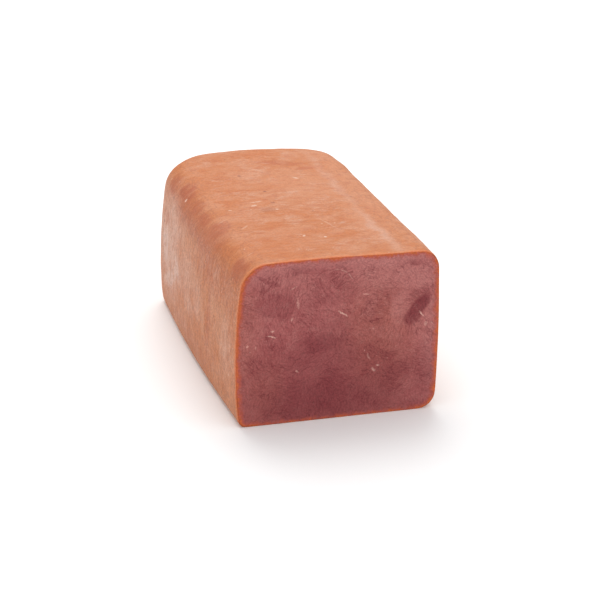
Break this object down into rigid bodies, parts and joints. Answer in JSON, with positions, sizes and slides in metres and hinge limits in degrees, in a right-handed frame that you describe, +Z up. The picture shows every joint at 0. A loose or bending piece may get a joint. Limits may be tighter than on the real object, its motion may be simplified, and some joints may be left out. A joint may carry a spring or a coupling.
{
  "type": "pressed beef round loaf",
  "caption": "Rectangular loaf of pressed, smoked beef round with rounded long edges, a smooth brown rind, a domed closed end and a flat cut face that shows the meat.",
  "frame": {"origin": "middle of the base, on the surface that the loaf stands on", "axes": "+Z up, +Y along the loaf from the cut face to the closed end, +X across to the right as seen from the cut end"},
  "size_m": [0.129, 0.2208, 0.0991],
  "materials": {
    "smoked_beef": "soft satin smoked rind, moist mottled red-brown meat on the cut face"
  },
  "bodies": {
    "root": {"loaf": "smoked_beef"}
  },
  "joints": []
}
